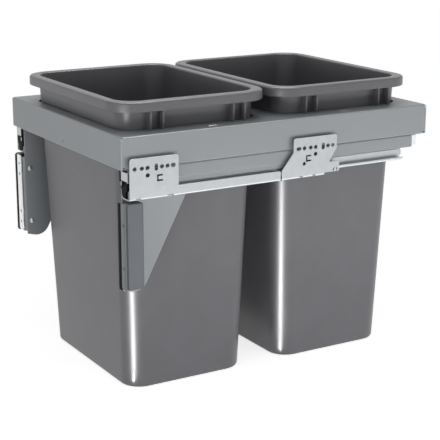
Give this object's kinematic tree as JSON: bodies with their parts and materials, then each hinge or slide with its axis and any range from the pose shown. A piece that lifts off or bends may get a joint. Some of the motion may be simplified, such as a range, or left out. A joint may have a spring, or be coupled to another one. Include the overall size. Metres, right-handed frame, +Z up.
{
  "type": "pull out trash cabinet",
  "caption": "Pull-out waste unit for a base cabinet: a slide-out tray on concealed full-extension runners carries lift-out bins and brackets for the cabinet door.",
  "frame": {"origin": "middle of the cabinet's front edge, level with the row of fixing holes in the mounting plates", "axes": "+X to the right seen from the front, +Y from the cabinet's front edge to its back, +Z up"},
  "size_m": [0.4186, 0.544, 0.4481],
  "materials": {
    "frame_paint": "satin",
    "bin_plastic": "satin",
    "zinc": "satin",
    "black_plastic": "matt",
    "cover_plastic": "matt",
    "roller_steel": "polished"
  },
  "bodies": {
    "cabinet_fixings": {"left_cabinet_rail": "zinc", "right_cabinet_rail": "zinc", "left_front_bracket": "zinc", "right_front_bracket": "zinc", "left_rear_bracket": "zinc", "right_rear_bracket": "zinc", "left_rail_studs": "zinc", "right_rail_studs": "zinc"},
    "carriage": {"tray": "frame_paint", "ledge_posts": "zinc", "tray_rivets": "zinc", "left_drawer_member": "frame_paint", "left_rear_hook": "zinc", "left_front_catch": "black_plastic", "left_front_clip": "zinc", "left_gusset": "frame_paint", "left_bracket_cover": "cover_plastic", "left_cover_screws": "zinc", "right_drawer_member": "frame_paint", "right_rear_hook": "zinc", "right_front_catch": "black_plastic", "right_front_clip": "zinc", "right_gusset": "frame_paint", "right_bracket_cover": "cover_plastic", "right_cover_screws": "zinc"},
    "front_bin_body": {"front_bin": "bin_plastic"},
    "rear_bin_body": {"rear_bin": "bin_plastic"},
    "left_middle": {"left_middle_rail": "zinc"},
    "left_lower_train": {"left_lower_cage": "black_plastic", "left_lower_rollers": "roller_steel"},
    "left_upper_train": {"left_upper_cage": "black_plastic", "left_upper_rollers": "roller_steel"},
    "left_door_carrier": {"left_door_rail": "zinc", "left_toothed_strip": "black_plastic", "left_height_screws": "zinc"},
    "right_middle": {"right_middle_rail": "zinc"},
    "right_lower_train": {"right_lower_cage": "black_plastic", "right_lower_rollers": "roller_steel"},
    "right_upper_train": {"right_upper_cage": "black_plastic", "right_upper_rollers": "roller_steel"},
    "right_door_carrier": {"right_door_rail": "zinc", "right_toothed_strip": "black_plastic", "right_height_screws": "zinc"}
  },
  "joints": [
    {"name": "tray_slide", "type": "slide", "parent": "cabinet_fixings", "child": "carriage", "axis": [0, -1, 0], "range_m": [0, 0.48]},
    {"name": "left_middle_slide", "type": "slide", "parent": "cabinet_fixings", "child": "left_middle", "axis": [0, -1, 0], "range_m": [0, 0.24]},
    {"name": "left_lower_train_slide", "type": "slide", "parent": "cabinet_fixings", "child": "left_lower_train", "axis": [0, -1, 0], "range_m": [0, 0.12]},
    {"name": "left_upper_train_slide", "type": "slide", "parent": "cabinet_fixings", "child": "left_upper_train", "axis": [0, -1, 0], "range_m": [0, 0.36]},
    {"name": "left_door_height", "type": "slide", "parent": "carriage", "child": "left_door_carrier", "axis": [0, 0, 1], "range_m": [-0.003, 0.003]},
    {"name": "right_middle_slide", "type": "slide", "parent": "cabinet_fixings", "child": "right_middle", "axis": [0, -1, 0], "range_m": [0, 0.24]},
    {"name": "right_lower_train_slide", "type": "slide", "parent": "cabinet_fixings", "child": "right_lower_train", "axis": [0, -1, 0], "range_m": [0, 0.12]},
    {"name": "right_upper_train_slide", "type": "slide", "parent": "cabinet_fixings", "child": "right_upper_train", "axis": [0, -1, 0], "range_m": [0, 0.36]},
    {"name": "right_door_height", "type": "slide", "parent": "carriage", "child": "right_door_carrier", "axis": [0, 0, 1], "range_m": [-0.003, 0.003]},
    {"name": "front_bin_lift", "type": "slide", "parent": "carriage", "child": "front_bin_body", "axis": [0, 0, 1], "range_m": [0, 0.42]},
    {"name": "rear_bin_lift", "type": "slide", "parent": "carriage", "child": "rear_bin_body", "axis": [0, 0, 1], "range_m": [0, 0.42]}
  ],
  "couplings": [
    {"joint": "left_middle_slide", "follows": "tray_slide", "ratio": 0.5},
    {"joint": "left_lower_train_slide", "follows": "tray_slide", "ratio": 0.25},
    {"joint": "left_upper_train_slide", "follows": "tray_slide", "ratio": 0.75},
    {"joint": "right_middle_slide", "follows": "tray_slide", "ratio": 0.5},
    {"joint": "right_lower_train_slide", "follows": "tray_slide", "ratio": 0.25},
    {"joint": "right_upper_train_slide", "follows": "tray_slide", "ratio": 0.75}
  ]
}
